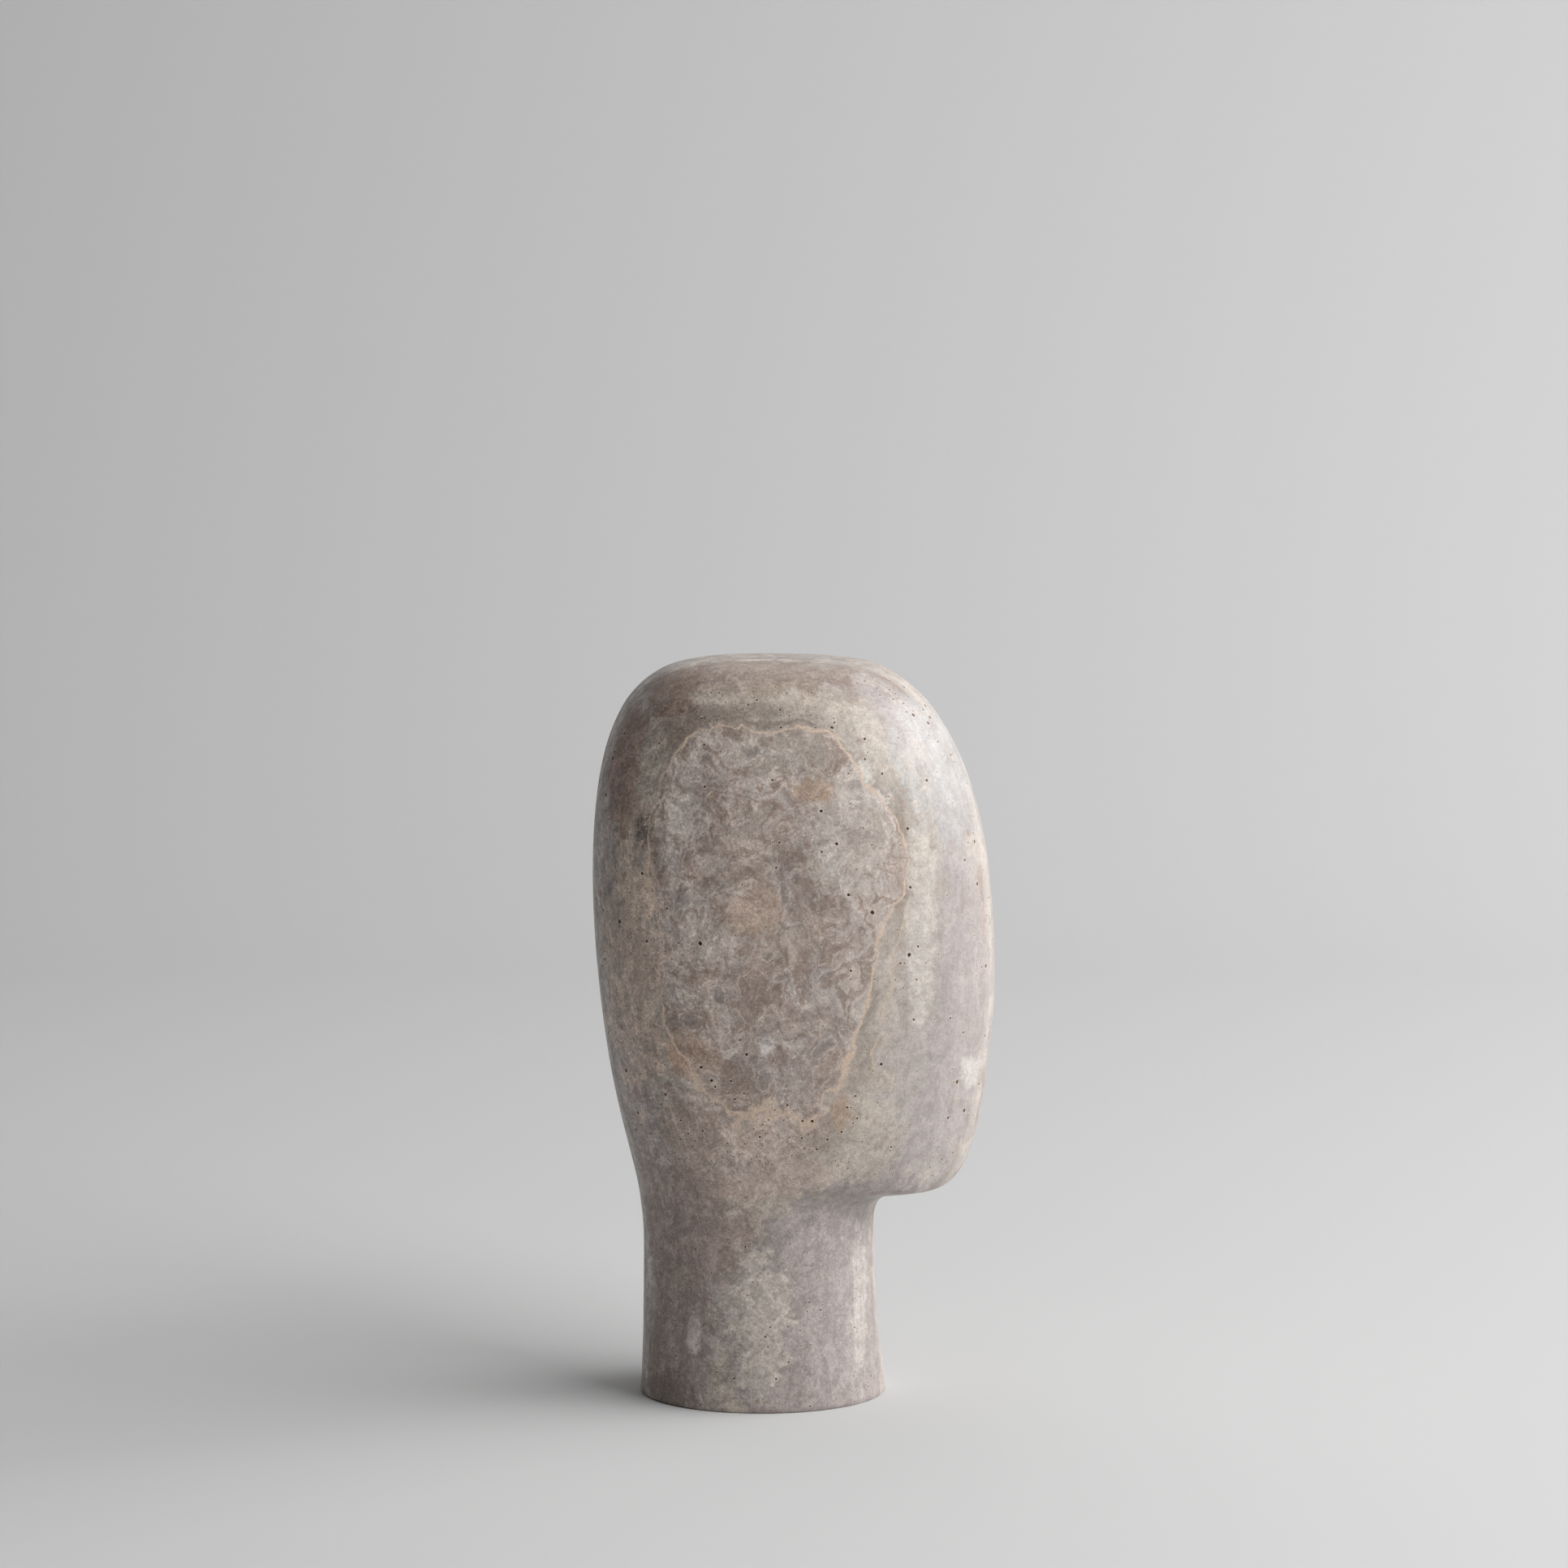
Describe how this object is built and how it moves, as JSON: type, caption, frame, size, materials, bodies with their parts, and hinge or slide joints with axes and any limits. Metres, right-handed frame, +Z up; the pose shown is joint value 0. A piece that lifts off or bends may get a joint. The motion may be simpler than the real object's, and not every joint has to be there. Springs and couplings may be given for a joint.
{
  "type": "abstract stone head sculpture",
  "caption": "Faceless head on a round neck with a level jaw and a flat crown, carved from one block of travertine. Stands on its flat underside.",
  "frame": {"origin": "centre of the flat underside, on the neck's axis", "axes": "+Z up, the face looks towards -Y, +X is the head's left flank"},
  "size_m": [0.1504, 0.2, 0.3685],
  "materials": {
    "travertine": "honed, unfilled pores"
  },
  "bodies": {
    "root": {"stone_head": "travertine"}
  },
  "joints": []
}
